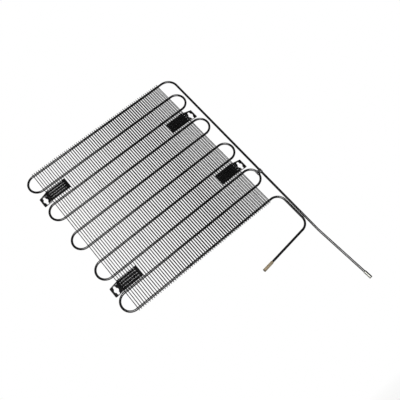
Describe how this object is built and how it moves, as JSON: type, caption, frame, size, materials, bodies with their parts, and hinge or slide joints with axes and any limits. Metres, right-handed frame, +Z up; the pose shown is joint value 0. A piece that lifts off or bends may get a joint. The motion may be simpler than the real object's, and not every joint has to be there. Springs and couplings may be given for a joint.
{
  "type": "refrigeration condenser",
  "caption": "Wire-on-tube condenser: a flat serpentine steel tube between two layers of welded wires, with ribbed keyhole brackets, a riser and an outlet leg.",
  "frame": {"origin": "midway between the two left keyholes, on the rear face of their tabs, which meets the cabinet", "axes": "+X along the passes towards the riser, +Y towards the cabinet, +Z up as the condenser hangs"},
  "size_m": [0.3837, 0.011, 0.5877],
  "materials": {
    "black_paint": "gloss black stoving enamel over steel",
    "bare_tube": "bare copper-washed steel, satin"
  },
  "bodies": {
    "root": {"serpentine_tube": "black_paint", "front_wires": "black_paint", "back_wires": "black_paint", "upper_left_bracket": "black_paint", "lower_left_bracket": "black_paint", "upper_right_bracket": "black_paint", "lower_right_bracket": "black_paint", "riser_clip": "black_paint"}
  },
  "joints": []
}
